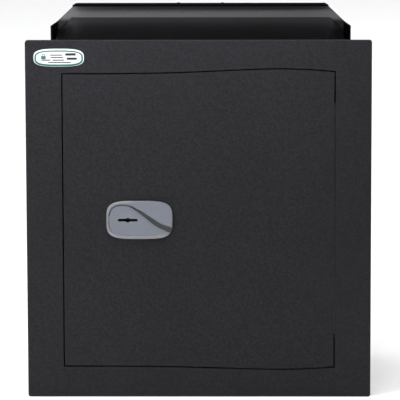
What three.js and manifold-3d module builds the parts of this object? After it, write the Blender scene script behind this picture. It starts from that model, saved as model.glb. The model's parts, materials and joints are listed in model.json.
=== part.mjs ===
// Key-locking wall safe: front flange, flush door on concealed pivots, sleeve-shaped body, lipped back pan.
// Units are millimetres, +X right, +Y to the back, +Z up. The origin is at the bottom centre of the whole.
// Sub-parts stand in the face group: x across, y = depth behind the front face, z = height from its centre.
import * as THREE from 'three';
import { mergeVertices } from 'three/addons/utils/BufferGeometryUtils.js';
import Module from 'manifold-3d';

const wasm = await Module();
wasm.setup();

// ---- driving dimensions ----
const FIT_GAP = 0.3; // between pieces that are welded or pressed together
const TOUCH = 0.05; // under trim that lies flat on a sheet
const FLANGE = { width: 410, height: 432, thick: 6, corner: 3, hem: 7, hemHigh: 1.5 };
const OVERALL_DEPTH = 250;
const ESCUTCHEON_PROUD = 3.4;
const SHEET = 2; // body walls
const OVERRUN = 1; // how far a cutter, or a part joined to another, reaches past the face it meets
const FINE_SIDES = 40; // sides of the larger circles
const SIDES = 24; // sides of the smaller ones
const OVAL_SIDES = 120; // corners of the bowed outlines
const DOME_STEPS = 6;

// Door: a flush plate whose top and bottom edges bow outward towards the hinge side.
const DOOR = { width: 321.5, thick: 6, seam: 1.6 };
const TOP_EDGE = { left: 175.5, crest: 181.3, right: 177.8 };
const BOTTOM_EDGE = { left: 177.6, crest: 181.5, right: 178.7 };
const CREST_X = 97;
const CREST_SKEW = 1.8; // above 1 keeps the bow flat on the lock side
const EDGE_STEPS = 28;

// Concealed pivots, set in from the door's edge so that the edge swings inward behind the flange.
const HINGE = {
  inset: 50, depth: 11, pinRadius: 3.5, nose: 1, pinFloor: 4, headRadius: 4.6, headHigh: 3,
  blockHalf: 10, blockDepth: 12, blockLow: 150, blockHigh: 176,
};
const HINGE_X = DOOR.width / 2 - HINGE.inset;
const RUNNING = 0.3; // radial clearance of everything that turns or slides

// Body sleeve with chamfered corners, and the back pan with its lips.
const BODY = { width: 352, height: 415, chamferX: 16, chamferZ: 14 };
const PAN = { halfWidth: 178, top: 225.2, bottom: -216, chamferX: 24, chamferZ: 23, sheet: 2 };
const LIP = { depth: 18, endSplay: 4, sideFlare: 7.5, sideTaper: 3 };
const LIP_SCREW = { x: 27, radius: 2.9, high: 1.8 };

// Inner frame around the door opening.
const JAMB = { sheet: 3, back: 30, lintelZ: 185 };

// Bolt work on the lock side.
const BOLT = { radius: 8, length: 20, depth: 21, tipX: -160.5, spacing: 118, count: 3, holeGap: 1 };
const BAR = { sheet: 6, front: 12, back: 32, halfHeight: 140 };
const GUIDE = { rodRadius: 4, rodLength: 44, z: 70, blockX: -120, blockWide: 16, blockHalf: 11 };
const ARM = { front: 28, back: 32, low: 0, high: 14, reach: 8 };

// Key lock.
const KEYHOLE = { x: -84.5, z: 0.2, width: 23.7, high: 3.2, hub: 2.9, clear: 1 };
const ROTOR = { radius: 14.5, front: 10, back: 24, discRadius: 16, discBack: 27, slotDepth: 12 };
const CRANK = { radius: 8, startDeg: 45, pinRadius: 2.5, back: 33.7, slack: 0.45 };
const CASE = { halfWidth: 29, below: 29, above: 40, sheet: 2, front: 10.3, back: 34 };
const LEVER = {
  count: 4, pitch: 2.6, sheet: 1.6, first: 12.8, ring: 22, hole: 18.5, pivotZ: 30, boss: 6.5, pin: 2.5,
};

const COVER = { left: -156, right: 96.5, halfHeight: 168, sheet: 1.5, back: 43.5 };
const DOG_BAR = { left: 125, right: 168, back: 12.3, halfHeight: 140 };
const DRILL_PLATE = { half: 34, back: 9.3 };
const ESCUTCHEON = {
  x: -70.6, z: 0.6, halfWidth: 39.2, halfHeight: 22.9, power: 3.9, rim: 2.6, floorPower: 3.4, floor: 2.2,
};
// The wave's two long edges, from the left rim over the top and down through the right edge.
const WAVE = {
  upper: [[-37.5, 4], [-33, 14.6], [-24.5, 18.6], [-13, 18], [-0.7, 12.4], [13, 4], [26, -4.7], [42, -10]],
  lower: [[-36.6, 3], [-32, 13.4], [-24, 16.8], [-14, 16.5], [-4.4, 11], [8, 1.4], [20, -8], [40, -17.6]],
  steps: 72, thick: 0.5,
};
const LABEL = { x: -165, z: 195.7, halfWidth: 29.8, halfHeight: 10.6, power: 3.2, thick: 0.4 };
const SHELF = { halfWidth: 171, front: 82, back: 240, sheet: 2, frontLip: 12, bracket: 15 };
const MAT = { front: 66, margin: 4, thick: 2.5 };
const COVER_SCREW = { inset: 14, radius: 3.4, high: 2 };

// ---- derived places ----
const FRONT_Y = ESCUTCHEON_PROUD - OVERALL_DEPTH / 2;
const PAN_BACK = OVERALL_DEPTH - ESCUTCHEON_PROUD;
const PAN_FRONT = PAN_BACK - PAN.sheet;
const BEHIND_PLATE = DOOR.thick + FIT_GAP;
const BEHIND_FLANGE = FLANGE.thick - FLANGE.hemHigh + FIT_GAP;
const BAR_RIGHT = BOLT.tipX + BOLT.length + FIT_GAP + BAR.sheet;
const JAMB_X = DOOR.width / 2 + DOOR.seam + FIT_GAP;
const CRANK_START = THREE.MathUtils.degToRad(CRANK.startDeg);

// ---- materials ----
function finish(color, roughness, metalness) {
  return new THREE.MeshStandardMaterial({ color, roughness, metalness });
}
const powderCoat = finish(0x303035, 0.62, 0.2);
const glossBlack = finish(0x141416, 0.28, 0.2);
const innerGrey = finish(0x3a3b3e, 0.55, 0.2);
const zinc = finish(0xb8bcc0, 0.35, 0.9);
const brightSteel = finish(0xc9cbce, 0.22, 1);
const hardSteel = finish(0x55585c, 0.45, 0.9);
const brass = finish(0xb08d4a, 0.35, 0.9);
const blueGrey = finish(0x7b818d, 0.5, 0.3);
const slateGrey = finish(0x52565b, 0.45, 0.3);
const labelWhite = finish(0xf2f4f4, 0.5, 0);
const felt = finish(0x26272a, 0.95, 0);

// ---- shape helpers ----
function solidFrom(geometry) {
  const bare = geometry.clone();
  bare.deleteAttribute('normal');
  bare.deleteAttribute('uv');
  const merged = mergeVertices(bare, 1e-4);
  const vertProperties = new Float32Array(merged.attributes.position.array);
  const triVerts = new Uint32Array(merged.index.array);
  return new wasm.Manifold(new wasm.Mesh({ numProp: 3, vertProperties, triVerts }));
}

function geometryFrom(solid) {
  const mesh = solid.getMesh();
  const geometry = new THREE.BufferGeometry();
  geometry.setAttribute('position', new THREE.BufferAttribute(mesh.vertProperties, 3));
  geometry.setIndex(new THREE.BufferAttribute(mesh.triVerts, 1));
  geometry.computeVertexNormals();
  return geometry;
}

// Joins the first list of geometries and cuts the second list away.
function carve(added, removed = []) {
  const body = added.map(solidFrom).reduce((sum, next) => sum.add(next));
  return geometryFrom(removed.map(solidFrom).reduce((rest, tool) => rest.subtract(tool), body));
}

function block(x, y, z) {
  const geometry = new THREE.BoxGeometry(x[1] - x[0], y[1] - y[0], z[1] - z[0]);
  return geometry.translate((x[0] + x[1]) / 2, (y[0] + y[1]) / 2, (z[0] + z[1]) / 2);
}

// A flat shape drawn in x and z, given thickness from y = front to y = back.
function plate(shape, front, back) {
  const geometry = new THREE.ExtrudeGeometry(shape, { depth: back - front, bevelEnabled: false });
  return geometry.rotateX(Math.PI / 2).translate(0, back, 0);
}

// A cylinder along x, y or z from one end to the other, centred on the two other coordinates.
function rod(axis, radius, from, to, a, b, sides = SIDES) {
  const geometry = new THREE.CylinderGeometry(radius, radius, to - from, sides);
  const middle = (from + to) / 2;
  if (axis === 'x') return geometry.rotateZ(-Math.PI / 2).translate(middle, a, b);
  if (axis === 'y') return geometry.translate(a, middle, b);
  return geometry.rotateX(Math.PI / 2).translate(a, b, middle);
}

function points(...pairs) {
  return pairs.map(([x, y]) => new THREE.Vector2(x, y));
}

function roundedRectangle(width, height, radius) {
  const x = width / 2;
  const y = height / 2;
  const shape = new THREE.Shape();
  shape.absarc(x - radius, y - radius, radius, 0, Math.PI / 2);
  shape.absarc(radius - x, y - radius, radius, Math.PI / 2, Math.PI);
  shape.absarc(radius - x, radius - y, radius, Math.PI, 1.5 * Math.PI);
  shape.absarc(x - radius, radius - y, radius, 1.5 * Math.PI, 2 * Math.PI);
  return shape;
}

function superellipse(halfWidth, halfHeight, power) {
  const bend = (value) => Math.sign(value) * Math.abs(value) ** (2 / power);
  const outline = Array.from({ length: OVAL_SIDES }, (_, i) => {
    const angle = (2 * Math.PI * i) / OVAL_SIDES;
    return new THREE.Vector2(halfWidth * bend(Math.cos(angle)), halfHeight * bend(Math.sin(angle)));
  });
  return new THREE.Shape(outline);
}

// A screw head: a low dome on a flat underside, turned about z and facing up.
function screwHead(radius, high) {
  const dome = Array.from({ length: DOME_STEPS }, (_, i) => {
    const angle = (Math.PI / 2) * (i / DOME_STEPS);
    return new THREE.Vector2(radius * Math.cos(angle), high * Math.sin(angle));
  });
  const profile = [...points([0, 0]), ...dome, ...points([0, high])];
  return new THREE.LatheGeometry(profile, SIDES).rotateX(Math.PI / 2);
}

// ---- assembly helpers ----
const safe = new THREE.Group();
const face = new THREE.Group();
face.position.set(0, FRONT_Y, FLANGE.height / 2);
safe.add(face);
const shell = new THREE.Group();
const door = new THREE.Group();
face.add(shell, door);

function add(group, name, geometry, material, place = [0, 0, 0], turn = [0, 0, 0]) {
  const mesh = new THREE.Mesh(geometry, material);
  mesh.name = name;
  mesh.position.set(...place);
  mesh.rotation.set(...turn);
  group.add(mesh);
}

// ---- outlines shared by the door and the flange ----
function edgeHeight(x, edge) {
  const half = DOOR.width / 2;
  if (x > CREST_X) {
    const t = Math.min((x - CREST_X) / (half - CREST_X), 1);
    return edge.crest - (edge.crest - edge.right) * t * t;
  }
  const t = Math.max((x + half) / (CREST_X + half), 0) ** CREST_SKEW;
  return edge.left + (edge.crest - edge.left) * t * t * (3 - 2 * t);
}

function doorOutline(grow) {
  const half = DOOR.width / 2 + grow;
  const stations = Array.from({ length: EDGE_STEPS + 1 }, (_, i) => half * ((2 * i) / EDGE_STEPS - 1));
  const lower = stations.map((x) => new THREE.Vector2(x, -edgeHeight(x, BOTTOM_EDGE) - grow));
  const upper = stations.map((x) => new THREE.Vector2(x, edgeHeight(x, TOP_EDGE) + grow));
  return [...lower, ...upper.reverse()];
}

function keyholeCutters(front, back, grow, x = KEYHOLE.x, z = KEYHOLE.z) {
  const slot = roundedRectangle(KEYHOLE.width + 2 * grow, KEYHOLE.high + 2 * grow, KEYHOLE.high / 2);
  return [plate(slot, front, back).translate(x, 0, z), rod('y', KEYHOLE.hub + grow, front, back, x, z)];
}

// ---- shell: flange, body sleeve, back pan ----
// The flange's outer edge is hemmed to the back, and only this hem lies on the wall.
function frontFrame() {
  const { width, height, thick, corner, hem, hemHigh } = FLANGE;
  const sheet = roundedRectangle(width, height, corner);
  sheet.holes.push(new THREE.Path(doorOutline(DOOR.seam)));
  const edge = roundedRectangle(width, height, corner);
  edge.holes.push(roundedRectangle(width - 2 * hem, height - 2 * hem, corner));
  const flange = carve([plate(sheet, 0, thick - hemHigh), plate(edge, thick - hemHigh - OVERRUN, thick)]);
  add(shell, 'front_frame', flange, powderCoat);
}

// The two ends of the body section's top right chamfer, for the section moved inward by inset.
function chamferEnds(inset) {
  const slope = BODY.chamferZ / BODY.chamferX;
  const drop = inset * Math.hypot(1, slope);
  const low = BODY.height / 2 - BODY.chamferZ;
  const x = BODY.width / 2 - inset;
  const z = BODY.height / 2 - inset;
  return { low: [x, low + slope * inset - drop], high: [BODY.width / 2 - (z - low + drop) / slope, z] };
}

// Four folded sheets: each cap carries two chamfers, and the half turn about y gives its opposite.
function bodySleeve() {
  const outer = chamferEnds(0);
  const inner = chamferEnds(SHEET);
  const mirrorX = ([x, z]) => [-x, z];
  const capEnds = [outer.low, outer.high, mirrorX(outer.high), mirrorX(outer.low)];
  const cap = points(...capEnds, mirrorX(inner.low), mirrorX(inner.high), inner.high, inner.low);
  const weldGap = ([x, z]) => [x, z - FIT_GAP];
  const mirrorZ = ([x, z]) => [x, -z];
  const sideTop = [weldGap(outer.low), weldGap(inner.low)];
  const side = points(...sideTop, mirrorZ(sideTop[1]), mirrorZ(sideTop[0]));
  const halfTurn = [0, Math.PI, 0];
  const sleevePlate = (outline) => plate(new THREE.Shape(outline), BEHIND_FLANGE, PAN_FRONT - FIT_GAP);
  add(shell, 'body_top', sleevePlate(cap), glossBlack);
  add(shell, 'body_bottom', sleevePlate(cap), glossBlack, [0, 0, 0], halfTurn);
  add(shell, 'body_right', sleevePlate(side), glossBlack);
  add(shell, 'body_left', sleevePlate(side), glossBlack, [0, 0, 0], halfTurn);
}

// A lip drawn flat: its fold edge lies on x, it reaches to the front, and its sheet lies below z = 0.
function lipSheet(foldHalf, frontHalf, reach) {
  const outline = points([-foldHalf, 0], [foldHalf, 0], [frontHalf, reach], [-frontHalf, reach]);
  const thickness = { depth: PAN.sheet, bevelEnabled: false };
  return new THREE.ExtrudeGeometry(new THREE.Shape(outline), thickness).rotateX(Math.PI);
}

// The pan closes the sleeve. Its corners are cut off, its four lips are folded to the front, and the side
// lips splay outward.
function backPan() {
  const { halfWidth, top, bottom, chamferX, chamferZ } = PAN;
  const lowCorner = bottom + chamferZ;
  const highCorner = top - chamferZ;
  const foldX = halfWidth - chamferX;
  const outline = points(
    [halfWidth, lowCorner], [halfWidth, highCorner], [foldX, top], [-foldX, top],
    [-halfWidth, highCorner], [-halfWidth, lowCorner], [-foldX, bottom], [foldX, bottom],
  );
  const endLip = () => lipSheet(foldX, foldX + LIP.endSplay, LIP.depth);
  const sideHalf = (highCorner - lowCorner) / 2;
  const sideMiddle = (highCorner + lowCorner) / 2;
  const flare = Math.atan2(LIP.sideFlare, LIP.depth);
  const sideReach = LIP.depth / Math.cos(flare);
  const sideLip = () => (
    lipSheet(sideHalf, sideHalf - LIP.sideTaper, sideReach).rotateY(Math.PI / 2).rotateZ(flare)
  );
  const pan = carve([
    plate(new THREE.Shape(outline), PAN_FRONT, PAN_BACK),
    endLip().translate(0, PAN_BACK, top),
    endLip().rotateY(Math.PI).translate(0, PAN_BACK, bottom),
    sideLip().translate(halfWidth, PAN_BACK, sideMiddle),
    sideLip().rotateY(Math.PI).translate(-halfWidth, PAN_BACK, sideMiddle),
  ]);
  add(shell, 'back_pan', pan, glossBlack);
  for (const [name, x] of [['lip_screw_left', -LIP_SCREW.x], ['lip_screw_right', LIP_SCREW.x]]) {
    const place = [x, PAN_BACK - LIP.depth / 2, top + TOUCH];
    add(shell, name, screwHead(LIP_SCREW.radius, LIP_SCREW.high), glossBlack, place);
  }
}

// Strips behind the flange round the door opening. The bolts enter the one on the lock side, and the
// hinge pins hang in the ones above and below.
function innerFrame() {
  const { sheet, back, lintelZ } = JAMB;
  const depth = [BEHIND_FLANGE, back];
  const jamb = block([-JAMB_X - sheet, -JAMB_X], depth, [FIT_GAP - lintelZ, lintelZ - FIT_GAP]);
  const boltHoles = boltHeights().map((z) => (
    rod('x', BOLT.radius + BOLT.holeGap, -JAMB_X - 2 * sheet, sheet - JAMB_X, BOLT.depth, z)
  ));
  add(shell, 'jamb_left', carve([jamb], boltHoles), powderCoat);
  const pinHoleRadius = HINGE.pinRadius + FIT_GAP;
  for (const [name, low] of [['lintel', lintelZ], ['sill', -lintelZ - sheet]]) {
    const strip = block([-JAMB_X - sheet, JAMB_X + sheet], depth, [low, low + sheet]);
    const pinHole = rod('z', pinHoleRadius, low - sheet, low + 2 * sheet, HINGE_X, HINGE.depth);
    add(shell, name, carve([strip], [pinHole]), powderCoat);
  }
}

// A headed pin: it drops through the lintel into the door's block, and its twin comes up from below.
function hingePins() {
  const { pinRadius, blockLow, nose, headRadius, headHigh } = HINGE;
  const headLow = JAMB.lintelZ + JAMB.sheet + FIT_GAP;
  const pinEnd = blockLow + HINGE.pinFloor;
  const profile = points(
    [0, pinEnd], [pinRadius - nose, pinEnd], [pinRadius, pinEnd + nose], [pinRadius, headLow],
    [headRadius, headLow], [headRadius, headLow + headHigh], [0, headLow + headHigh],
  );
  const pin = new THREE.LatheGeometry(profile, SIDES).rotateX(Math.PI / 2);
  add(shell, 'hinge_pin_top', pin, brightSteel, [HINGE_X, HINGE.depth, 0]);
  add(shell, 'hinge_pin_bottom', pin, brightSteel, [HINGE_X, HINGE.depth, 0], [Math.PI, 0, 0]);
}

function interior() {
  const { halfWidth, front, back, sheet, frontLip, bracket } = SHELF;
  const board = block([-halfWidth, halfWidth], [front, back], [-sheet / 2, sheet / 2]);
  const lip = block([-halfWidth, halfWidth], [front, front + sheet], [sheet / 2 - frontLip, sheet / 2]);
  add(shell, 'shelf', carve([board, lip]), innerGrey);
  const wall = BODY.width / 2 - SHEET - FIT_GAP;
  const top = -sheet / 2 - FIT_GAP;
  const angle = new THREE.Shape(
    points([wall, top], [wall - bracket, top], [wall - bracket, top - sheet],
      [wall - sheet, top - sheet], [wall - sheet, top - bracket], [wall, top - bracket]),
  );
  const depth = [front + bracket, back - bracket];
  add(shell, 'shelf_bracket_right', plate(angle, ...depth), innerGrey);
  const mirrored = plate(angle, ...depth).translate(0, -(depth[0] + depth[1]), 0);
  add(shell, 'shelf_bracket_left', mirrored, innerGrey, [0, 0, 0], [0, 0, Math.PI]);
  const floor = SHEET - BODY.height / 2 + TOUCH;
  const matHalf = chamferEnds(SHEET).high[0] - MAT.margin;
  add(shell, 'floor_mat', block([-matHalf, matHalf], [MAT.front, back], [floor, floor + MAT.thick]), felt);
}

function ovalLabel() {
  const outline = superellipse(LABEL.halfWidth, LABEL.halfHeight, LABEL.power);
  add(shell, 'oval_label', plate(outline, -LABEL.thick, -TOUCH), labelWhite, [LABEL.x, 0, LABEL.z]);
}

// ---- door: plate, escutcheon, hinge blocks, cover ----
function doorPlate() {
  const outline = plate(new THREE.Shape(doorOutline(0)), 0, DOOR.thick);
  const keyWay = (front, back) => keyholeCutters(front - OVERRUN, back + OVERRUN, KEYHOLE.clear);
  add(door, 'door_plate', carve([outline], keyWay(0, DOOR.thick)), powderCoat);
  const { half, back } = DRILL_PLATE;
  const hard = block(
    [KEYHOLE.x - half, KEYHOLE.x + half], [BEHIND_PLATE, back], [KEYHOLE.z - half, KEYHOLE.z + half],
  );
  add(door, 'drill_plate', carve([hard], keyWay(BEHIND_PLATE, back)), hardSteel);
}

// A bowed rectangle with a sunk floor. A darker wave lies on the floor along its upper edge and runs out
// through the right edge, which leaves a rim at the left and below, and a raised lobe at the upper right.
function escutcheon() {
  const { x, z, halfWidth, halfHeight, power, rim, floorPower, floor } = ESCUTCHEON;
  const upper = new THREE.SplineCurve(points(...WAVE.upper)).getPoints(WAVE.steps);
  const lower = new THREE.SplineCurve(points(...WAVE.lower)).getPoints(WAVE.steps);
  const cut = (shape) => solidFrom(plate(shape, -ESCUTCHEON_PROUD - OVERRUN, -floor));
  const belowWave = [...upper, ...points([halfWidth, -halfHeight], [-halfWidth, -halfHeight])];
  const floorOutline = superellipse(halfWidth - rim, halfHeight - rim, floorPower);
  const sunk = cut(floorOutline).intersect(cut(new THREE.Shape(belowWave)));
  const channel = cut(new THREE.Shape([...upper, ...[...lower].reverse()]));
  const whole = solidFrom(plate(superellipse(halfWidth, halfHeight, power), -ESCUTCHEON_PROUD, -TOUCH));
  const hole = keyholeCutters(-ESCUTCHEON_PROUD, OVERRUN, 0, KEYHOLE.x - x, KEYHOLE.z - z).map(solidFrom);
  const body = [sunk, channel, ...hole].reduce((rest, tool) => rest.subtract(tool), whole);
  add(door, 'escutcheon', geometryFrom(body), blueGrey, [x, 0, z]);

  const shifted = (edge, rise) => edge.map((p) => new THREE.Vector2(p.x, p.y + rise));
  const bandOutline = [...shifted(upper, -FIT_GAP), ...shifted(lower, FIT_GAP).reverse()];
  const band = plate(new THREE.Shape(bandOutline), -floor - WAVE.thick, -floor - TOUCH);
  const rimInside = superellipse(halfWidth - FIT_GAP, halfHeight - FIT_GAP, power);
  const keepIn = plate(rimInside, -ESCUTCHEON_PROUD, 0);
  const inFloor = superellipse(halfWidth - rim - FIT_GAP, halfHeight - rim - FIT_GAP, floorPower);
  const rightHalf = block([0, halfWidth], [-ESCUTCHEON_PROUD, 0], [-halfHeight, halfHeight]);
  const allowed = solidFrom(plate(inFloor, -ESCUTCHEON_PROUD, 0)).add(solidFrom(rightHalf));
  const wave = solidFrom(band).intersect(solidFrom(keepIn)).intersect(allowed);
  add(door, 'escutcheon_wave', geometryFrom(wave), slateGrey, [x, 0, z]);
}

function hingeBlocks() {
  const { blockHalf, blockDepth, blockLow, blockHigh, depth, pinRadius } = HINGE;
  for (const [name, low, high] of [['top', blockLow, blockHigh], ['bottom', -blockHigh, -blockLow]]) {
    const body = block(
      [HINGE_X - blockHalf, HINGE_X + blockHalf], [BEHIND_PLATE, BEHIND_PLATE + blockDepth], [low, high],
    );
    const bore = rod('z', pinRadius + RUNNING, low - OVERRUN, high + OVERRUN, HINGE_X, depth);
    add(door, `hinge_block_${name}`, carve([body], [bore]), hardSteel);
  }
  const { left, right, back, halfHeight } = DOG_BAR;
  add(door, 'dog_bar', block([left, right], [BEHIND_PLATE, back], [-halfHeight, halfHeight]), hardSteel);
}

// A folded tray, open to the front, that shuts the lock and bolt work away from the inside.
function doorCover() {
  const { left, right, halfHeight, sheet, back } = COVER;
  const outer = block([left, right], [BEHIND_PLATE, back], [-halfHeight, halfHeight]);
  const hollow = block(
    [left + sheet, right - sheet], [DOOR.thick, back - sheet], [sheet - halfHeight, halfHeight - sheet],
  );
  const boltHoles = boltHeights().map((z) => (
    rod('x', BOLT.radius + BOLT.holeGap, left - sheet, left + 2 * sheet, BOLT.depth, z)
  ));
  add(door, 'door_cover', carve([outer], [hollow, ...boltHoles]), innerGrey);
  const { inset, radius, high } = COVER_SCREW;
  const corners = [-1, 1].flatMap((side) => [-1, 1].map((up) => [side, up]));
  corners.forEach(([side, up], i) => {
    const x = side < 0 ? left + inset : right - inset;
    const place = [x, back + TOUCH, up * (halfHeight - inset)];
    add(door, `cover_screw_${i + 1}`, screwHead(radius, high), zinc, place, [-Math.PI / 2, 0, 0]);
  });
}

// ---- bolt work ----
function boltHeights() {
  return Array.from({ length: BOLT.count }, (_, i) => (i - (BOLT.count - 1) / 2) * BOLT.spacing);
}

// Where the crank pin stands at rest, from the rotor's centre.
function crankPinPlace() {
  return [CRANK.radius * Math.sin(CRANK_START), CRANK.radius * Math.cos(CRANK_START)];
}

function boltWork() {
  boltHeights().forEach((z, i) => {
    const pin = rod('x', BOLT.radius, BOLT.tipX, BOLT.tipX + BOLT.length, BOLT.depth, z);
    add(door, `bolt_${i + 1}`, pin, brightSteel);
  });
  const barLeft = BAR_RIGHT - BAR.sheet;
  const bar = block([barLeft, BAR_RIGHT], [BAR.front, BAR.back], [-BAR.halfHeight, BAR.halfHeight]);
  const [pinX, pinZ] = crankPinPlace();
  const slotX = KEYHOLE.x + pinX;
  const slotHalf = CRANK.pinRadius + CRANK.slack;
  const armHeight = [KEYHOLE.z + ARM.low, KEYHOLE.z + ARM.high];
  const arm = block([barLeft + OVERRUN, slotX + ARM.reach], [ARM.front, ARM.back], armHeight);
  const slot = block(
    [slotX - slotHalf, slotX + slotHalf],
    [ARM.front - OVERRUN, ARM.back + OVERRUN],
    [KEYHOLE.z + pinZ - slotHalf, KEYHOLE.z + CRANK.radius + slotHalf],
  );
  add(door, 'bolt_bar', carve([bar, arm], [slot]), zinc);

  for (const [name, z] of [['upper', GUIDE.z], ['lower', -GUIDE.z]]) {
    const { rodRadius, rodLength, blockX, blockWide, blockHalf } = GUIDE;
    const guideRod = rod('x', rodRadius, BAR_RIGHT + FIT_GAP, BAR_RIGHT + rodLength, BOLT.depth, z);
    add(door, `guide_rod_${name}`, guideRod, brightSteel);
    const blockRight = blockX + blockWide;
    const body = block([blockX, blockRight], [BEHIND_PLATE, BAR.back], [z - blockHalf, z + blockHalf]);
    const bore = rod('x', rodRadius + RUNNING, blockX - OVERRUN, blockRight + OVERRUN, BOLT.depth, z);
    add(door, `bolt_guide_${name}`, carve([body], [bore]), hardSteel);
  }
}

// ---- key lock ----
function keyRotor() {
  const { radius, front, back, discRadius, discBack, slotDepth } = ROTOR;
  const [pinX, pinZ] = crankPinPlace();
  const drum = rod('y', radius, front, back + OVERRUN, 0, 0, FINE_SIDES);
  const disc = rod('y', discRadius, back, discBack, 0, 0, FINE_SIDES);
  const pin = rod('y', CRANK.pinRadius, discBack - OVERRUN, CRANK.back, pinX, pinZ);
  const slot = keyholeCutters(front - OVERRUN, front + slotDepth, FIT_GAP, 0, 0);
  add(door, 'key_rotor', carve([drum, disc, pin], slot), hardSteel, [KEYHOLE.x, 0, KEYHOLE.z]);
}

function lockCase() {
  const { halfWidth, below, above, sheet, front, back } = CASE;
  const outer = block([-halfWidth, halfWidth], [front, back], [-below, above]);
  const hollow = block(
    [sheet - halfWidth, halfWidth - sheet], [front + sheet, back + OVERRUN], [sheet - below, above - sheet],
  );
  const journalRadius = ROTOR.radius + RUNNING;
  const journal = rod('y', journalRadius, front - OVERRUN, front + sheet + OVERRUN, 0, 0, FINE_SIDES);
  const armWay = block(
    [-halfWidth - OVERRUN, sheet - halfWidth + OVERRUN],
    [ARM.front - OVERRUN, back + OVERRUN],
    [ARM.low - OVERRUN, ARM.high + OVERRUN],
  );
  const place = [KEYHOLE.x, 0, KEYHOLE.z];
  add(door, 'lock_case', carve([outer], [hollow, journal, armWay]), zinc, place);
  const lid = block(
    [-halfWidth, halfWidth], [back + FIT_GAP, back + FIT_GAP + sheet], [-below, above],
  );
  add(door, 'lock_case_lid', lid, zinc, place);
}

// Ring-shaped levers round the rotor, hung on one pivot pin.
function levers() {
  const { count, pitch, sheet, first, ring, hole, pivotZ, boss, pin } = LEVER;
  const place = [KEYHOLE.x, 0, KEYHOLE.z];
  for (let i = 0; i < count; i += 1) {
    const front = first + i * pitch;
    const back = front + sheet;
    const disc = rod('y', ring, front, back, 0, 0, FINE_SIDES);
    const neck = block([-boss, boss], [front, back], [hole + OVERRUN, pivotZ]);
    const eye = rod('y', boss, front, back, 0, pivotZ);
    const cuts = [
      rod('y', hole, front - OVERRUN, back + OVERRUN, 0, 0, FINE_SIDES),
      rod('y', pin + RUNNING, front - OVERRUN, back + OVERRUN, 0, pivotZ),
    ];
    add(door, `lever_${i + 1}`, carve([disc, neck, eye], cuts), brass, place);
  }
  const pinFront = CASE.front + CASE.sheet + FIT_GAP;
  add(door, 'lever_pin', rod('y', pin, pinFront, CASE.back - FIT_GAP, 0, pivotZ), brightSteel, place);
}

frontFrame();
bodySleeve();
backPan();
innerFrame();
hingePins();
interior();
ovalLabel();
doorPlate();
escutcheon();
hingeBlocks();
doorCover();
boltWork();
keyRotor();
lockCase();
levers();

export default safe;
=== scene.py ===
# Looks of the wall safe: coats and plating, a moulded escutcheon, turned parts, screws, welds, label print,
# a felt mat and a plain studio.
# Everything is in metres, and values written as millimetres are multiplied by MM.
import json
import math
import random

import bmesh
import bpy
from mathutils import Euler, Matrix, Vector, noise


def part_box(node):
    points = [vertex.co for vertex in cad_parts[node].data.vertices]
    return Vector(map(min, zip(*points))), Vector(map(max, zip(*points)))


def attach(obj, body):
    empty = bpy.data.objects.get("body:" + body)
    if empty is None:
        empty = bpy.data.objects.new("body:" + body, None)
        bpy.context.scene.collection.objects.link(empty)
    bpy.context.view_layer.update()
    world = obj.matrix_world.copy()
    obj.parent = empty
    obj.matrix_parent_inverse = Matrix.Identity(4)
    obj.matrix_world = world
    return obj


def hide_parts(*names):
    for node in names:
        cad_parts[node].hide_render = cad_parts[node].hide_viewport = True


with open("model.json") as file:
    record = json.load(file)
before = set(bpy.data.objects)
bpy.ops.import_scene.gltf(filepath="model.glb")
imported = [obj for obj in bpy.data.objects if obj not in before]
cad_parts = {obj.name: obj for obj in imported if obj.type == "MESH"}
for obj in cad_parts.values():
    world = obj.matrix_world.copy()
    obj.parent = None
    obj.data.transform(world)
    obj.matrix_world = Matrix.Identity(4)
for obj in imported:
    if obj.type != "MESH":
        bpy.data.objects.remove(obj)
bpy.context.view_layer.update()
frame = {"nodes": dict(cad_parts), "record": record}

NODES = frame["nodes"]
MM = 0.001
random.seed(11)

FLANGE_LOW, FLANGE_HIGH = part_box("front_frame")
FACE_Z = (FLANGE_LOW.z + FLANGE_HIGH.z) / 2
BODY_LOW, BODY_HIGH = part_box("body_right")
BODY_TOP_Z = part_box("body_top")[1].z
BODY_BOTTOM_Z = 2 * FACE_Z - BODY_TOP_Z
PAN_SHEET = 2 * MM
PAN_FACE_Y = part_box("back_pan")[1].y - PAN_SHEET
LABEL_LOW, LABEL_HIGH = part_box("oval_label")
ESCUTCHEON_LOW, ESCUTCHEON_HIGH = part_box("escutcheon")


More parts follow.
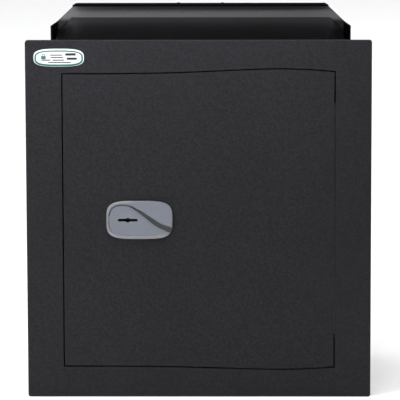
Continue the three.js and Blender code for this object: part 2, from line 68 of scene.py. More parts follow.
# ---- materials ----
class Finish:
    """A Principled material with short calls for its procedural nodes."""

    def __init__(self, name, **sockets):
        self.material = bpy.data.materials.new(name)
        self.material.use_nodes = True
        self.tree = self.material.node_tree
        self.shader = self.tree.nodes["Principled BSDF"]
        self.place = self.node("ShaderNodeTexCoord").outputs["Object"]
        for label, value in sockets.items():
            self.shader.inputs[label.replace("_", " ")].default_value = value

    def node(self, kind, **settings):
        made = self.tree.nodes.new(kind)
        for key, value in settings.items():
            setattr(made, key, value)
        return made

    def link(self, output, target):
        self.tree.links.new(output, target)

    def noise(self, scale, detail=2.0, roughness=0.5, stretch=None):
        made = self.node("ShaderNodeTexNoise")
        made.inputs["Scale"].default_value = scale
        made.inputs["Detail"].default_value = detail
        made.inputs["Roughness"].default_value = roughness
        self.link(self.stretched(stretch) if stretch else self.place, made.inputs["Vector"])
        return made.outputs["Fac"]

    def stretched(self, scale):
        made = self.node("ShaderNodeMapping")
        made.inputs["Scale"].default_value = scale
        self.link(self.place, made.inputs["Vector"])
        return made.outputs["Vector"]

    def along(self, axis):
        """The object coordinate along X, Y or Z."""
        made = self.node("ShaderNodeSeparateXYZ")
        self.link(self.place, made.inputs["Vector"])
        return made.outputs[axis]

    def ramp(self, value, stops):
        made = self.node("ShaderNodeValToRGB")
        elements = made.color_ramp.elements
        for position, color in stops[2:]:
            elements.new(position)
        for element, (position, color) in zip(elements, stops):
            element.position = position
            element.color = (*color, 1)
        self.link(value, made.inputs["Fac"])
        return made.outputs["Color"]

    def between(self, value, low, high, start=0.3, end=0.7):
        made = self.node("ShaderNodeMapRange")
        limits = {"From Min": start, "From Max": end, "To Min": low, "To Max": high}
        for label, limit in limits.items():
            made.inputs[label].default_value = limit
        self.link(value, made.inputs["Value"])
        return made.outputs["Result"]

    def feed(self, value, target):
        """Links an output to the target socket, or sets the socket to a plain value."""
        if isinstance(value, bpy.types.NodeSocket):
            self.link(value, target)
        else:
            target.default_value = value

    def math(self, operation, *values):
        made = self.node("ShaderNodeMath", operation=operation)
        for value, target in zip(values, made.inputs):
            self.feed(value, target)
        return made.outputs["Value"]

    def mix(self, share, first, second, mode="MIX"):
        made = self.node("ShaderNodeMix", data_type="RGBA", blend_type=mode)
        for value, identifier in ((share, "Factor_Float"), (first, "A_Color"), (second, "B_Color")):
            self.feed(value, next(socket for socket in made.inputs if socket.identifier == identifier))
        return next(socket for socket in made.outputs if socket.identifier == "Result_Color")

    def color(self, output):
        self.link(output, self.shader.inputs["Base Color"])

    def roughness(self, output):
        self.link(output, self.shader.inputs["Roughness"])

    def bump(self, *layers):
        """Each layer is a height output, a strength, and a distance in metres."""
        normal = None
        for height, strength, distance in layers:
            made = self.node("ShaderNodeBump")
            made.inputs["Strength"].default_value = strength
            made.inputs["Distance"].default_value = distance
            self.link(height, made.inputs["Height"])
            if normal:
                self.link(normal, made.inputs["Normal"])
            normal = made.outputs["Normal"]
        self.link(normal, self.shader.inputs["Normal"])


def shade(color, factor):
    return tuple(channel * factor for channel in color)


def powder_coat(name, base, coarse, strength, rough):
    """Matt textured coat: a fine grain with painted shade in its pits and paler tops, coarser mottling and
    slow drifts in tone.
    """
    made = Finish(name, IOR=1.5, Specular_IOR_Level=0.12)
    grain = made.noise(coarse, detail=3, roughness=0.6)
    mottle = made.noise(coarse * 0.42, detail=2, roughness=0.7)
    # painted shade: the grain's colour darkens where its bump sinks, in the pits, and pales on its tops
    grain_pit_shade = made.ramp(grain, [(0.30, shade(base, 0.62)), (0.60, shade(base, 1.15)), (0.80, shade(base, 2.1))])
    patch = made.ramp(mottle, [(0.35, (0.74, 0.74, 0.73)), (0.65, (1.22, 1.22, 1.24))])
    drift = made.ramp(made.noise(7), [(0.3, (0.90, 0.90, 0.90)), (0.7, (1.0, 1.0, 1.0))])
    made.color(made.mix(1.0, made.mix(1.0, grain_pit_shade, patch, "MULTIPLY"), drift, "MULTIPLY"))
    made.roughness(made.between(made.noise(160), *rough))
    made.bump((mottle, 0.22, 0.0005), (grain, strength, 0.0002))
    return made.material


def gloss_paint():
    """Sprayed black on sheet steel: orange peel and thin dust. The pan's front face carries painted light: a
    paler grey band above the body standing for the front light on it, with a faint share of it below the
    body's top.
    """
    tolerance, fade, faintest_painted_light = 0.3 * MM, 5 * MM, 0.18
    made = Finish("gloss_black", IOR=1.5, Specular_IOR_Level=0.05)
    dust = made.noise(380, detail=5, roughness=0.65)
    black = made.ramp(dust, [(0.35, (0.0020, 0.0020, 0.0023)), (0.75, (0.0044, 0.0044, 0.0049))])
    # painted light: this grey is the front light on the pan's face, full above the body's top and faint below
    # it
    grey = made.ramp(dust, [(0.35, (0.108, 0.108, 0.113)), (0.75, (0.124, 0.124, 0.130))])
    painted_light_face = made.math("COMPARE", made.along("Y"), PAN_FACE_Y, tolerance)
    above = made.between(made.along("Z"), faintest_painted_light, 1.0, BODY_TOP_Z - fade, BODY_TOP_Z)
    made.color(made.mix(made.math("MULTIPLY", painted_light_face, above), black, grey))
    made.roughness(made.between(made.noise(9), 0.19, 0.24))
    made.bump((made.noise(150, detail=1), 0.05, 0.0003))
    return made.material


def plated(name, base, grain=(1, 1, 1), rough=(0.25, 0.42)):
    """Plated or turned metal: fine tool lines along one direction and cloudy tarnish."""
    made = Finish(name, Metallic=1.0)
    lines = made.noise(500, detail=3, stretch=grain)
    cloud = made.noise(45, detail=3)
    made.color(made.ramp(cloud, [(0.3, shade(base, 0.76)), (0.7, base)]))
    made.roughness(made.between(cloud, *rough))
    made.bump((lines, 0.14, 0.0001))
    return made.material


def moulding(name, base, rough, rim=None):
    """Satin moulded plastic with a spark-eroded grain. rim is the painted highlight: a paler tone laid on the
    escutcheon's rim at the left and below, where the light catches it.
    """
    made = Finish(name, IOR=1.46)
    grain = made.noise(900, detail=3)
    tone = made.ramp(grain, [(0.3, shade(base, 0.94)), (0.7, shade(base, 1.06))])
    # painted highlight: the rim's paler tone at the left and below, where light catches the rounded edge
    made.color(made.mix(painted_rim_highlight_share(made), tone, (*rim, 1)) if rim else tone)
    made.roughness(made.between(made.noise(120), *rough))
    made.bump((grain, 0.25, 0.0001))
    return made.material


def painted_rim_highlight_share(made):
    """Share of the painted highlight: 1 on the escutcheon's rim at the left and below, where the light
    catches it, 0 on its floor and on the raised lobe.
    """
    centre, half = (ESCUTCHEON_LOW + ESCUTCHEON_HIGH) / 2, (ESCUTCHEON_HIGH - ESCUTCHEON_LOW) / 2
    inset, power = 2.6 * MM, 3.4
    lobe, fade = 14 * MM, 4 * MM
    x = made.math("SUBTRACT", made.along("X"), centre.x)
    z = made.math("SUBTRACT", made.along("Z"), centre.z)
    terms = []
    for value, reach in ((x, half.x - inset), (z, half.z - inset)):
        ratio = made.math("DIVIDE", made.math("ABSOLUTE", value), reach)
        terms.append(made.math("POWER", ratio, power))
    outside = made.between(made.math("ADD", *terms), 0.0, 1.0, start=0.98, end=1.25)
    left_of_lobe = made.between(made.math("ADD", x, z), 1.0, 0.0, lobe - fade, lobe + fade)
    return made.math("MULTIPLY", outside, left_of_lobe)


def felt_material():
    made = Finish("felt", Roughness=1.0, Sheen_Weight=0.15)
    fibre = made.noise(900, detail=5, roughness=0.7, stretch=(1, 3, 1))
    made.color(made.ramp(fibre, [(0.3, (0.010, 0.011, 0.012)), (0.7, (0.034, 0.036, 0.040))]))
    made.bump((fibre, 0.8, 0.0008))
    return made.material


def film(name, dark, light):
    """Printed vinyl film: faintly mottled, with a soft gloss."""
    made = Finish(name, IOR=1.45, Coat_Weight=0.2)
    paper = made.noise(300, detail=3)
    made.color(made.ramp(paper, [(0.3, dark), (0.7, light)]))
    made.roughness(made.between(paper, 0.32, 0.45))
    made.bump((paper, 0.08, 0.0001))
    return made.material


# painted highlight: the paler tone of the escutcheon's rim at the left and below
ESCUTCHEON_RIM_HIGHLIGHT = (0.178, 0.177, 0.182)
MATERIALS = {
    "powder_coat": powder_coat("powder_coat", (0.0126, 0.0123, 0.0143), 700, 0.45, (0.50, 0.62)),
    "gloss_black": gloss_paint(),
    "inner_grey": powder_coat("inner_grey", (0.040, 0.041, 0.045), 480, 0.25, (0.40, 0.52)),
    "zinc": plated("zinc", (0.60, 0.61, 0.62)),
    "bright_steel": plated("bright_steel", (0.66, 0.67, 0.68), grain=(0.08, 1, 1), rough=(0.14, 0.28)),
    "hard_steel": plated("hard_steel", (0.085, 0.088, 0.092), rough=(0.35, 0.5)),
    "brass": plated("brass", (0.66, 0.47, 0.20), rough=(0.22, 0.38)),
    "escutcheon_blue_grey": moulding(
        "escutcheon_blue_grey", (0.116, 0.126, 0.150), (0.38, 0.5), rim=ESCUTCHEON_RIM_HIGHLIGHT,
    ),
    "escutcheon_slate": moulding("escutcheon_slate", (0.019, 0.021, 0.022), (0.34, 0.46)),
    "label": film("label", (0.47, 0.50, 0.50), (0.52, 0.55, 0.55)),
    "felt": felt_material(),
}
INK_TEAL = film("ink_teal", (0.006, 0.072, 0.062), (0.010, 0.092, 0.078))
INK_GREY = film("ink_grey", (0.008, 0.008, 0.010), (0.014, 0.014, 0.018))


# ---- mesh helpers ----
def add_object(name, data):
    made = bpy.data.objects.new(name, data)
    bpy.context.scene.collection.objects.link(made)
    return made


def face_outward(mesh):
    bm = bmesh.new()
    bm.from_mesh(mesh)
    bmesh.ops.recalc_face_normals(bm, faces=bm.faces)
    bm.to_mesh(mesh)
    bm.free()


def applied(made, name):
    """The object's mesh with its modifiers applied. The object itself is removed."""
    depsgraph = bpy.context.evaluated_depsgraph_get()
    mesh = bpy.data.meshes.new_from_object(made.evaluated_get(depsgraph))
    mesh.name = name
    bpy.data.objects.remove(made)
    return mesh


def add_piece(name, mesh, body, slot, material=None, sharp_deg=35):
    """Makes the mesh a piece that rides on body, smooth but for edges sharper than sharp_deg."""
    face_outward(mesh)
    bm = bmesh.new()
    bm.from_mesh(mesh)
    for face in bm.faces:
        face.smooth = True
    for edge in bm.edges:
        edge.smooth = edge.calc_face_angle(0) < math.radians(sharp_deg)
    bm.to_mesh(mesh)
    bm.free()
    mesh.materials.clear()
    mesh.materials.append(material or MATERIALS[slot])
    made = add_object(name, mesh)
    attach(made, body)
    return made


def skin(name, rings, wrap=False):
    """A closed mesh through rings of points: its ends are capped, or the last ring joins the first."""
    count = len(rings[0])
    points = [point for ring in rings for point in ring]
    faces = []
    spans = len(rings) if wrap else len(rings) - 1
    for i in range(spans):
        here, there = i * count, ((i + 1) % len(rings)) * count
        for j in range(count):
            k = (j + 1) % count
            faces.append((here + j, here + k, there + k, there + j))
    if not wrap:
        faces.append(tuple(range(count)))
        faces.append(tuple(range(len(points) - count, len(points))))
    mesh = bpy.data.meshes.new(name)
    mesh.from_pydata(points, [], faces)
    return mesh


def circle(centre, axis, radius, sides):
    """Points round axis, a radius away from centre."""
    across = axis.orthogonal().normalized()
    up = axis.cross(across)
    turns = [2 * math.pi * j / sides for j in range(sides)]
    return [centre + (across * math.cos(a) + up * math.sin(a)) * radius for a in turns]


def turned(name, profile, start, axis, sides=64):
    """A turned solid: profile is (distance along axis, radius) in metres, from start."""
    return skin(name, [circle(start + axis * along, axis, radius, sides) for along, radius in profile])


def superellipse(half_width, half_height, power, steps=160):
    def bend(value):
        return math.copysign(abs(value) ** (2 / power), value)

    angles = [2 * math.pi * i / steps for i in range(steps)]
    return [(half_width * bend(math.cos(a)), half_height * bend(math.sin(a))) for a in angles]


def box_centre(node):
    low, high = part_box(node)
    return (low + high) / 2


# ---- CAD nodes that stay: coats and softened edges ----
def finish_nodes():
    for part in frame["record"]["subparts"]:
        mesh = NODES[part["node"]].data
        mesh.materials.clear()
        mesh.materials.append(MATERIALS[part["material_slot"]])


BEVEL_SEGMENTS = 3
BEVEL_FROM_DEG = 40
BEVELS_MM = {
    "front_frame": 0.9, "door_plate": 0.7, "escutcheon_wave": 0.15, "back_pan": 0.6,
    "body_top": 0.6, "body_bottom": 0.6, "body_left": 0.4, "body_right": 0.4, "door_cover": 0.7,
    "shelf": 0.6, "shelf_bracket_left": 0.5, "shelf_bracket_right": 0.5, "hinge_block_top": 0.8,
    "hinge_block_bottom": 0.8, "dog_bar": 0.8, "bolt_bar": 0.4, "lock_case": 0.4, "lock_case_lid": 0.4,
    "bolt_guide_upper": 0.6, "bolt_guide_lower": 0.6, "drill_plate": 0.4, "jamb_left": 0.4, "lintel": 0.4,
    "sill": 0.4, "key_rotor": 0.4, "lever_1": 0.25, "lever_2": 0.25, "lever_3": 0.25, "lever_4": 0.25,
}


def soften_edges():
    for name, width in BEVELS_MM.items():
        bevel = NODES[name].modifiers.new("edges", "BEVEL")
        bevel.width = width * MM
        bevel.segments = BEVEL_SEGMENTS
        bevel.limit_method = "ANGLE"
        bevel.angle_limit = math.radians(BEVEL_FROM_DEG)
        bevel.harden_normals = True


# ---- escutcheon ----
def moulded_escutcheon():
    """The escutcheon with the soft edges of a moulding, in place of its sharp-edged solid."""
    solid = add_object("solid", NODES["escutcheon"].data.copy())
    remesh = solid.modifiers.new("even", "REMESH")
    remesh.mode = "VOXEL"
    remesh.voxel_size = 0.3 * MM
    soften = solid.modifiers.new("soften", "SMOOTH")
    soften.factor = 0.5
    soften.iterations = 7
    thin = solid.modifiers.new("thin", "DECIMATE")
    thin.ratio = 0.3
    mesh = applied(solid, "escutcheon_moulded")
    piece = add_piece("escutcheon_moulded", mesh, "door", "escutcheon_blue_grey", sharp_deg=60)
    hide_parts("escutcheon")


# ---- turned parts ----
def turned_from_box(node, body, slot, axis_name, ends, groove=None):
    """A smooth turned bar in place of a faceted one. ends are the chamfers at its two ends, in metres, and
    groove is the place along the bar, the width and the depth of a groove round it."""
    low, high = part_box(node)
    index = "xyz".index(axis_name)
    axis = Vector((0, 0, 0))
    axis[index] = 1
    start = (low + high) / 2
    start[index] = low[index]
    length = high[index] - low[index]
    radius = (high - low)[(index + 1) % 3] / 2
    profile = [(0, radius - ends[0]), (ends[0], radius)]
    if groove:
        place, width, deep = groove
        steps = [(0, radius), (deep, radius - deep), (width - deep, radius - deep), (width, radius)]
        profile += [(place + along, r) for along, r in steps]
    profile += [(length - ends[1], radius), (length, radius - ends[1])]
    piece = add_piece(f"{node}_turned", turned(f"{node}_turned", profile, start, axis), body, slot)
    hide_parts(node)


def turned_parts():
    bolt_ends, bolt_groove = (1.6 * MM, 0.4 * MM), (14.0 * MM, 1.2 * MM, 0.4 * MM)
    for i in (1, 2, 3):
        turned_from_box(f"bolt_{i}", "bolt_carriage", "bright_steel", "x", bolt_ends, bolt_groove)
    rod_ends, rod_groove = (0.3 * MM, 0.7 * MM), (38.0 * MM, 1.1 * MM, 0.4 * MM)
    for side in ("upper", "lower"):
        turned_from_box(f"guide_rod_{side}", "bolt_carriage", "bright_steel", "x", rod_ends, rod_groove)


def hinge_pins():
    """Headed pins with a rounded rim and a coned end. The lower one is the upper one turned over."""
    head_radius, head_high, pin_radius, nose, soft = 4.6 * MM, 3.0 * MM, 3.5 * MM, 1.0 * MM, 0.5 * MM
    for side, up in (("top", 1), ("bottom", -1)):
        low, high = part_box(f"hinge_pin_{side}")
        length = high.z - low.z
        start = box_centre(f"hinge_pin_{side}")
        start.z = low.z if up > 0 else high.z
        shoulder = length - head_high
        profile = [
            (0, pin_radius - nose), (nose, pin_radius), (shoulder, pin_radius),
            (shoulder, head_radius - soft), (shoulder + soft / 2, head_radius),
            (length - soft, head_radius), (length, head_radius - soft),
        ]
        name = f"hinge_pin_{side}_turned"
        piece = add_piece(name, turned(name, profile, start, Vector((0, 0, up))), "body", "bright_steel")
        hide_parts(f"hinge_pin_{side}")


# ---- screws ----
def recess_cutter(arm, half, low_z, high_z, turn):
    """A bar across the screw's axis, narrower at its foot, as one arm pair of a cross recess."""
    foot_x, foot_y = 0.75, 0.8
    wide = [(-arm, -half), (arm, -half), (arm, half), (-arm, half)]
    low_ring = [Vector((x * foot_x, y * foot_y, low_z)) for x, y in wide]
    high_ring = [Vector((x, y, high_z)) for x, y in wide]
    mesh = skin("cutter", [low_ring, high_ring])
    mesh.transform(Matrix.Rotation(turn, 4, "Z"))
    face_outward(mesh)
    return add_object("cutter", mesh)


def cross_screw_mesh(name, radius, high):
    """A low domed head on z = 0 with a cross recess cut into it."""
    steps, sides = 10, 64
    rim, foot, tip = 0.12, 0.94, 0.02
    dome = [(0, radius * foot), (high * rim, radius)]
    for i in range(1, steps + 1):
        angle = math.pi / 2 * i / steps
        place = high * (rim + (1 - rim) * math.sin(angle))
        dome.append((place, max(radius * math.cos(angle), radius * tip)))
    head = add_object("head", turned("head", dome, Vector((0, 0, 0)), Vector((0, 0, 1)), sides))
    arm, half, floor_z, above_z = radius * 0.52, radius * 0.11, high * 0.42, high * 1.2
    cutters = [recess_cutter(arm, half, floor_z, above_z, turn) for turn in (0, math.pi / 2)]
    for cutter in cutters:
        cut = head.modifiers.new("recess", "BOOLEAN")
        cut.operation = "DIFFERENCE"
        cut.solver = "EXACT"
        cut.object = cutter
    mesh = applied(head, name)
    for cutter in cutters:
        bpy.data.objects.remove(cutter)
    return mesh


def screws():
    """A cross-head screw in place of each plain head, each left at an angle of its own."""
    cover = [(f"cover_screw_{i}", "door", "zinc") for i in (1, 2, 3, 4)]
    lip = [(f"lip_screw_{side}", "body", "gloss_black") for side in ("left", "right")]
    for node, body, slot in cover + lip:
        low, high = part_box(node)
        size = high - low
        foot = (low + high) / 2
        spin = Matrix.Rotation(random.uniform(0, math.pi / 2), 4, "Z")
        if body == "door":
            tall, turn = size.y, Matrix.Rotation(-math.pi / 2, 4, "X")
            foot.y = low.y
        else:
            tall, turn = size.z, Matrix.Identity(4)
            foot.z = low.z
        mesh = cross_screw_mesh(f"{node}_head", size.x / 2, tall)
        mesh.transform(Matrix.Translation(foot) @ turn @ spin)
        piece = add_piece(f"{node}_head", mesh, body, slot)
        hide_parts(node)


# ---- welds ----
def weld_bead(name, start, end):
    """A run of weld: a tube sunk in the corner, with the ripples that each puddle leaves, and round ends."""
    radius, pitch, sides, rings_a_pitch = 2.1 * MM, 1.9 * MM, 12, 5
    ripple_deep, end_share, tip, wander_share, wander_rate = 0.14, 1.6, 0.02, 0.08, 90
    along = end - start
    length = along.length
    along.normalize()
    count = max(8, round(length / (pitch / rings_a_pitch)))
    rings = []
    for i in range(count + 1):
        place = i / count * length
        ripple = 1 - ripple_deep + ripple_deep * abs(math.cos(math.pi * place / pitch))
        from_end = min(place, length - place) / (end_share * radius)
        taper = math.sqrt(max(tip, 1 - max(0, 1 - from_end) ** 2))
        centre = start + along * place
        wander = 1 + wander_share * noise.noise(centre + Vector((0, 0, place * wander_rate)))
        rings.append(circle(centre, along, radius * ripple * taper * wander, sides))
    add_piece(name, skin(name, rings), "body", "gloss_black")


WELD_RUN = 26 * MM
WELD_LEVELS = {"low": -125 * MM, "middle": 0, "high": 125 * MM}
WELD_ACROSS = {"left": -95 * MM, "right": 95 * MM}


def welds():
    """Short runs that fix the sleeve to the flange and to the pan. The pan has none above the sleeve."""
    upright, level = Vector((0, 0, WELD_RUN / 2)), Vector((WELD_RUN / 2, 0, 0))
    for where, y in (("flange", BODY_LOW.y), ("pan", BODY_HIGH.y)):
        for side, x in (("left", -BODY_HIGH.x), ("right", BODY_HIGH.x)):
            for height, z in WELD_LEVELS.items():
                middle = Vector((x, y, FACE_Z + z))
                weld_bead(f"weld_{where}_{side}_{height}", middle - upright, middle + upright)
        for side, x in WELD_ACROSS.items():
            low = Vector((x, y, BODY_BOTTOM_Z))
            weld_bead(f"weld_{where}_bottom_{side}", low - level, low + level)
            if where == "flange":
                high = Vector((x, y, BODY_TOP_Z))
                weld_bead(f"weld_{where}_top_{side}", high - level, high + level)


# ---- label print ----
LABEL_POWER = 3.2
INK_THICK = 0.03 * MM
INK_BACK_Y, INK_FRONT_Y = LABEL_LOW.y, LABEL_LOW.y - INK_THICK


def label_ring(outline, y):
    """The outline's points at depth y. An outline is in metres from the label's centre, across and up."""
    centre = box_centre("oval_label")
    return [Vector((centre.x + x, y, centre.z + z)) for x, z in outline]


def ink(name, outline, material):
    rings = [label_ring(outline, y) for y in (INK_BACK_Y, INK_FRONT_Y)]
    add_piece(name, skin(name, rings), "body", "label", material)


def ink_ring(name, outer, inner, material):
    rings = [
        label_ring(outer, INK_BACK_Y), label_ring(outer, INK_FRONT_Y),
        label_ring(inner, INK_FRONT_Y), label_ring(inner, INK_BACK_Y),
    ]
    add_piece(name, skin(name, rings, wrap=True), "body", "label", material)


def bar_outline(x, z, width, high):
    """A bar with round ends, its centre at x and z."""
    steps = 8
    half, radius = width / 2 - high / 2, high / 2
    right = [math.pi * (i / steps - 0.5) for i in range(steps + 1)]
    left = [angle + math.pi for angle in right]
    ends = [(x + half + radius * math.cos(a), z + radius * math.sin(a)) for a in right]
    return ends + [(x - half + radius * math.cos(a), z + radius * math.sin(a)) for a in left]


# Each bar's middle across and up from the label's centre, then its width and height, in millimetres.
BARS_MM = [
    (-3.0, 3.1, 14.5, 1.3), (14.0, 3.9, 13.0, 2.9), (-2.0, 0.2, 15.0, 1.2), (-15.0, -2.9, 11.0, 1.3),
    (-0.5, -2.9, 14.0, 1.3), (15.5, -1.2, 12.5, 2.7), (1.0, -5.7, 27.0, 1.2),
]
PADLOCK_X, PADLOCK_Z = -18.0 * MM, 2.0 * MM


def label_print():
    """A teal line round the edge, heavier below, a plain padlock, and bars where a label has its words."""
    half_width = (LABEL_HIGH.x - LABEL_LOW.x) / 2
    half_height = (LABEL_HIGH.z - LABEL_LOW.z) / 2
    inset, line, outer_drop, inner_drop = 1.1 * MM, 1.9 * MM, 0.8 * MM, 0.4 * MM
    outer = superellipse(half_width - inset, half_height - inset, LABEL_POWER)
    inner = superellipse(half_width - inset - line, half_height - inset - line, LABEL_POWER)
    lowered = [[(x, z - drop) for x, z in ring] for ring, drop in ((outer, outer_drop), (inner, inner_drop))]
    ink_ring("label_line", *lowered, INK_TEAL)
    for i, sizes in enumerate(BARS_MM, 1):
        ink(f"label_bar_{i}", bar_outline(*(size * MM for size in sizes)), INK_GREY)
    padlock(PADLOCK_X, PADLOCK_Z)


def padlock(x, z):
    """A plain padlock sign: a block with a bowed shackle over it, the block's top middle at x and z."""
    half, high, radius, wire, steps = 2.7 * MM, 3.8 * MM, 1.9 * MM, 0.8 * MM, 16
    block = [(x - half, z - high), (x + half, z - high), (x + half, z), (x - half, z)]
    ink("label_lock_block", block, INK_TEAL)
    bore, leg = radius - wire, 0.3
    turns = [math.pi * i / steps for i in range(steps + 1)]
    outside = [(x + radius * math.cos(a), z + radius * (leg + math.sin(a))) for a in turns]
    inside = [(x + bore * math.cos(a), z + radius * leg + bore * math.sin(a)) for a in reversed(turns)]
    feet_right, feet_left = [(x + bore, z), (x + radius, z)], [(x - radius, z), (x - bore, z)]
    ink("label_lock_shackle", feet_right + outside + feet_left + inside, INK_TEAL)


# ---- felt mat ----
MAT_COLUMNS, MAT_ROWS, MAT_CORNER = 96, 54, 6 * MM
MAT_RIM = 1.2 * MM  # width of the thinner rim inside its outline
MAT_EDGE_SHARE, MAT_CROWN_SHARE = 0.55, 0.35  # shares of its thickness: at the outline, and added inside
MAT_LIFT_SHARE = 0.05  # how far the underside lifts at the outline
MAT_SHRINK, MAT_RAGGED, RAGGED_SCALE = 0.0015, 0.00035, 600  # shares of its size, and a scale of noise
MAT_WAVES = ((0.12 * MM, 1, 28), (0.06 * MM, 2, 260))  # height, layer of noise, scale of noise


def mat_point(u, v, size):
    """A point of the mat's rounded outline or inside it, for u and v from -1 to 1, and 0 to 1 as the height
    of its rim: 0 on the outline, 1 further in than the rim's width."""
    x, y = u * size.x / 2, v * size.y / 2
    inner_x, inner_y = size.x / 2 - MAT_CORNER, size.y / 2 - MAT_CORNER
    past_x, past_y = max(abs(x) - inner_x, 0), max(abs(y) - inner_y, 0)
    reach = math.hypot(past_x, past_y)
    if reach > MAT_CORNER:
        x = math.copysign(inner_x + past_x * MAT_CORNER / reach, x)
        y = math.copysign(inner_y + past_y * MAT_CORNER / reach, y)
        past_x, past_y = max(abs(x) - inner_x, 0), max(abs(y) - inner_y, 0)
    inside = MAT_CORNER - math.hypot(past_x, past_y)
    return x, y, min(1, max(0, inside) / MAT_RIM)


def mat_surface(low, high, top):
    """The grid of points of the mat's top or underside."""
    size, centre = high - low, (low + high) / 2
    points = []
    for j in range(MAT_ROWS + 1):
        for i in range(MAT_COLUMNS + 1):
            x, y, rim = mat_point(2 * i / MAT_COLUMNS - 1, 2 * j / MAT_ROWS - 1, size)
            ragged = MAT_RAGGED * (1 - rim) * noise.noise(Vector((x, y, 0)) * RAGGED_SCALE)
            scale = 1 - MAT_SHRINK + ragged
            if top:
                wave = sum(tall * noise.noise(Vector((x, y, z)) * rate) for tall, z, rate in MAT_WAVES)
                height = size.z * (MAT_EDGE_SHARE + MAT_CROWN_SHARE * math.sqrt(rim)) + wave
            else:
                height = MAT_LIFT_SHARE * size.z * (1 - rim)
            height = max(0, min(height, size.z))
            points.append(Vector((centre.x + x * scale, centre.y + y * scale, low.z + height)))
    return points


def floor_mat():
    """A cut sheet of needle felt: slightly wavy on top, with a thinner, slightly ragged rim."""
    low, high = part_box("floor_mat")
    top, underside = mat_surface(low, high, True), mat_surface(low, high, False)
    wide, count = MAT_COLUMNS + 1, len(top)
    faces = []
    for j in range(MAT_ROWS):
        for i in range(MAT_COLUMNS):
            a = j * wide + i
            quad = (a, a + 1, a + 1 + wide, a + wide)
            faces.append(quad)
            faces.append(tuple(count + k for k in reversed(quad)))
    outline = list(range(MAT_COLUMNS))
    outline += [MAT_COLUMNS + j * wide for j in range(MAT_ROWS)]
    outline += [MAT_ROWS * wide + i for i in range(MAT_COLUMNS, 0, -1)]
    outline += [j * wide for j in range(MAT_ROWS, 0, -1)]
    for a, b in zip(outline, outline[1:] + outline[:1]):
        faces.append((b, a, count + a, count + b))
    mesh = bpy.data.meshes.new("felt_mat")
    mesh.from_pydata(top + underside, [], faces)
    piece = add_piece("felt_mat", mesh, "body", "felt", sharp_deg=80)
    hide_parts("floor_mat")


# ---- studio ----
CAMERA = {
    "distance": 5.0, "azimuth": 0.7, "elevation": 11.0, "roll": -0.16, "lens": 369.2, "aim_up": 0.7 * MM,
}
FLOOR_HALF = 14.0


def camera():
    data = bpy.data.cameras.new("camera")
    data.lens = CAMERA["lens"]
    data.clip_end = 50
    made = add_object("camera", data)
    bpy.context.scene.camera = made
    turn, lift = math.radians(CAMERA["azimuth"]), math.radians(CAMERA["elevation"])
    back = Vector((math.sin(turn) * math.cos(lift), -math.cos(turn) * math.cos(lift), math.sin(lift)))
    made.location = Vector((0, 0, FACE_Z + CAMERA["aim_up"])) + back * CAMERA["distance"]
    made.rotation_mode = "QUATERNION"
    level = (-back).to_track_quat("-Z", "Y")
    made.rotation_quaternion = level @ Euler((0, 0, math.radians(CAMERA["roll"]))).to_quaternion()


def floor():
    mesh = bpy.data.meshes.new("floor")
    corners = [(x * FLOOR_HALF, y * FLOOR_HALF, 0) for x, y in ((-1, -1), (1, -1), (1, 1), (-1, 1))]
    mesh.from_pydata(corners, [], [(0, 1, 2, 3)])
    made = add_object("floor", mesh)
    paper = Finish("floor_paper", Roughness=0.9)
    paper.color(paper.ramp(paper.noise(3), [(0.3, (0.90, 0.90, 0.90)), (0.7, (0.92, 0.92, 0.92))]))
    mesh.materials.append(paper.material)


def area_light(name, place, aim, size, power):
    data = bpy.data.lights.new(name, "AREA")
    data.shape = "RECTANGLE"
    data.size, data.size_y = size
    data.energy = power
    made = add_object(name, data)
    made.location = place
    made.rotation_euler = (Vector(aim) - Vector(place)).to_track_quat("-Z", "Y").to_euler()
    made.visible_camera = False


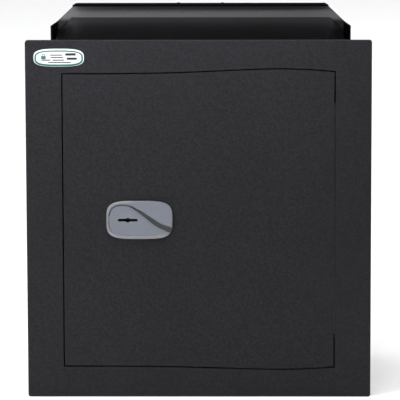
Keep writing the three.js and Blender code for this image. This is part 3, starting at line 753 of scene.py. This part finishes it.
def surroundings():
    """Seen directly, the studio is white paper. What it lights and reflects is grey in front, dark behind."""
    world = bpy.data.worlds.new("studio")
    bpy.context.scene.world = world
    world.use_nodes = True
    tree = world.node_tree
    seen = tree.nodes["Background"]
    seen.inputs["Color"].default_value = (0.96, 0.96, 0.97, 1)
    room = tree.nodes.new("ShaderNodeBackground")
    direction = tree.nodes.new("ShaderNodeTexCoord")
    parts = tree.nodes.new("ShaderNodeSeparateXYZ")
    ramp = tree.nodes.new("ShaderNodeValToRGB")
    span = tree.nodes.new("ShaderNodeMapRange")
    span.inputs["From Min"].default_value = -1
    tree.links.new(direction.outputs["Generated"], parts.inputs["Vector"])
    tree.links.new(parts.outputs["Y"], span.inputs["Value"])
    tree.links.new(span.outputs["Result"], ramp.inputs["Fac"])
    ramp.color_ramp.elements[0].position = 0.25
    ramp.color_ramp.elements[0].color = (0.10, 0.10, 0.11, 1)
    ramp.color_ramp.elements[1].position = 0.70
    ramp.color_ramp.elements[1].color = (0.006, 0.006, 0.006, 1)
    tree.links.new(ramp.outputs["Color"], room.inputs["Color"])
    light_path = tree.nodes.new("ShaderNodeLightPath")
    choice = tree.nodes.new("ShaderNodeMixShader")
    tree.links.new(light_path.outputs["Is Camera Ray"], choice.inputs["Fac"])
    tree.links.new(room.outputs["Background"], choice.inputs[1])
    tree.links.new(seen.outputs["Background"], choice.inputs[2])
    tree.links.new(choice.outputs["Shader"], tree.nodes["World Output"].inputs["Surface"])


def studio():
    surroundings()
    area_light("overhead", (0, 1.0, 4.0), (0, 1.0, 0), (8.0, 8.0), 360)
    area_light("key", (-1.3, -1.6, 0.62), (-0.05, -0.1, 0.30), (0.8, 0.6), 4)
    area_light("top_strip", (-0.10, -0.34, 0.66), (0, -0.12, 0.42), (0.9, 0.08), 4.2)
    area_light("left_strip", (-0.75, -0.55, 0.30), (-0.15, -0.12, 0.22), (0.08, 0.7), 4.2)
    area_light("low_strip", (-0.10, -0.45, 0.012), (0, -0.12, 0.08), (0.9, 0.02), 0.15)
    area_light("rear_right", (2.6, 1.7, 1.3), (0, 0.1, 0.2), (1.2, 1.2), 34)
    area_light("rear_left", (-2.2, 2.2, 2.8), (0, 0.1, 0.2), (1.2, 1.2), 16)
    bpy.context.scene.view_settings.view_transform = "Standard"


camera()
finish_nodes()
soften_edges()
moulded_escutcheon()
turned_parts()
hinge_pins()
screws()
welds()
label_print()
floor_mat()
floor()
studio()
